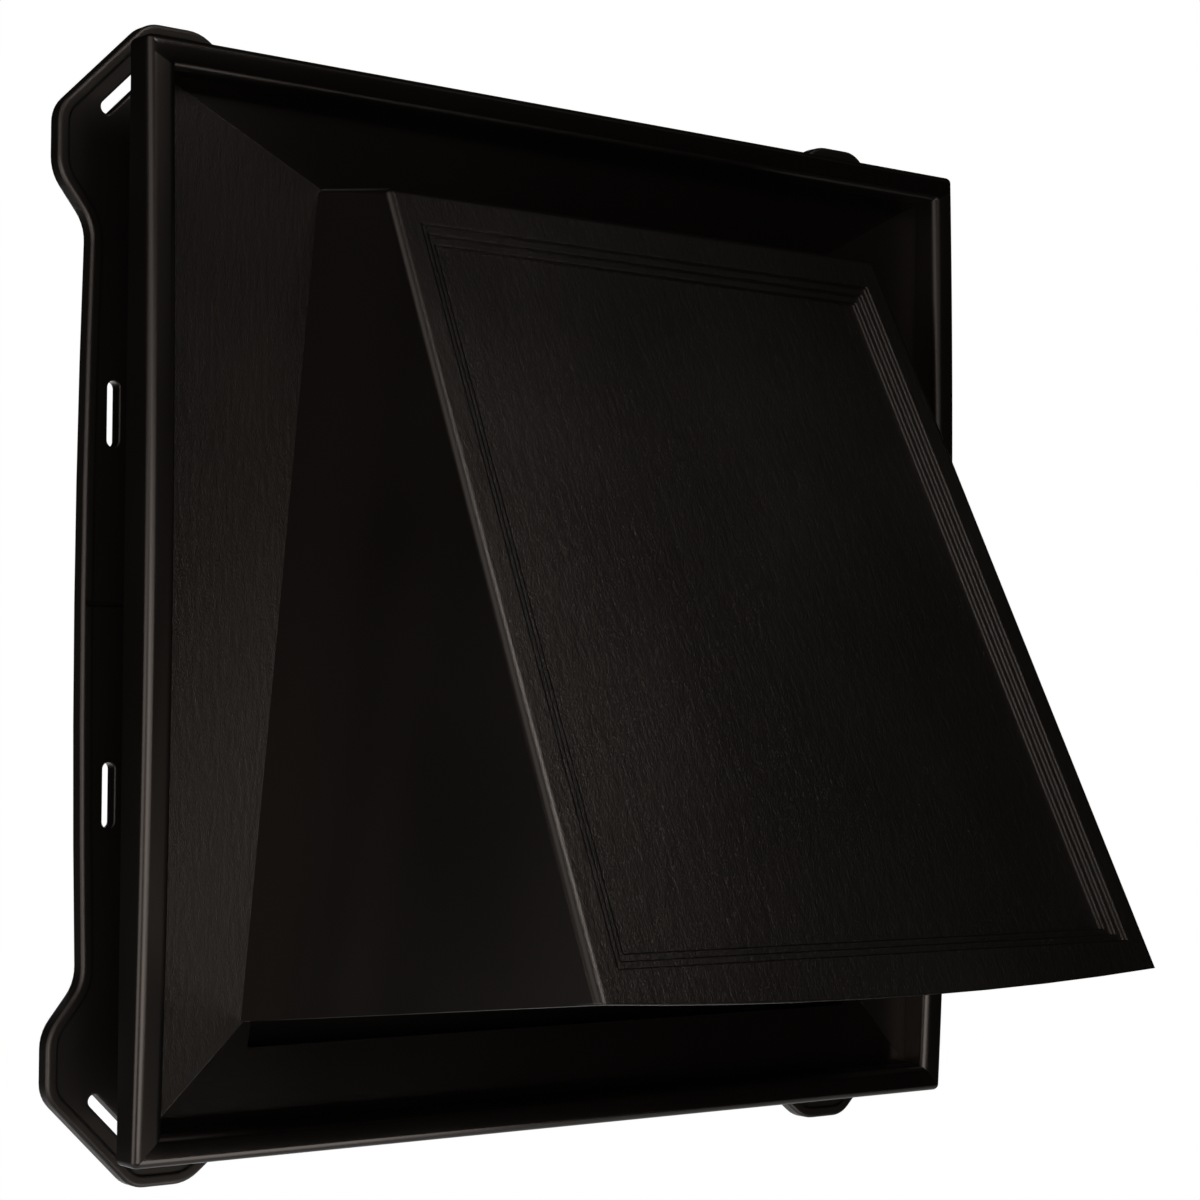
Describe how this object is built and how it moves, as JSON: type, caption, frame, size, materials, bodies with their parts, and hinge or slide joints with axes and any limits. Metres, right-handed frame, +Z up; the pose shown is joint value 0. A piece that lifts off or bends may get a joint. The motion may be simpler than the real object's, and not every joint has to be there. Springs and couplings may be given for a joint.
{
  "type": "hooded vent",
  "caption": "Square wall vent for house siding: nailing base with duct collar, clip-in hood with a stepped front panel, open below, and a hinged back-draft flap inside.",
  "frame": {"origin": "on the duct's axis, in the wall plane at the flange's back", "axes": "+Y into the wall along the duct, the hood faces -Y, +Z up"},
  "size_m": [0.2032, 0.1472, 0.2032],
  "materials": {
    "base_plastic": "smooth satin black, moulded",
    "cover_plastic": "satin black with a fine embossed wood grain",
    "flap_plastic": "smooth black, moulded"
  },
  "bodies": {
    "housing": {"mounting_base": "base_plastic", "hood_cover": "cover_plastic"},
    "damper": {"damper_flap": "flap_plastic"}
  },
  "joints": [
    {"name": "damper_hinge", "type": "hinge", "parent": "housing", "child": "damper", "pos_m": [0, -0.0054, 0.058], "axis": [-1, 0, 0], "range_deg": [0, 42]}
  ]
}
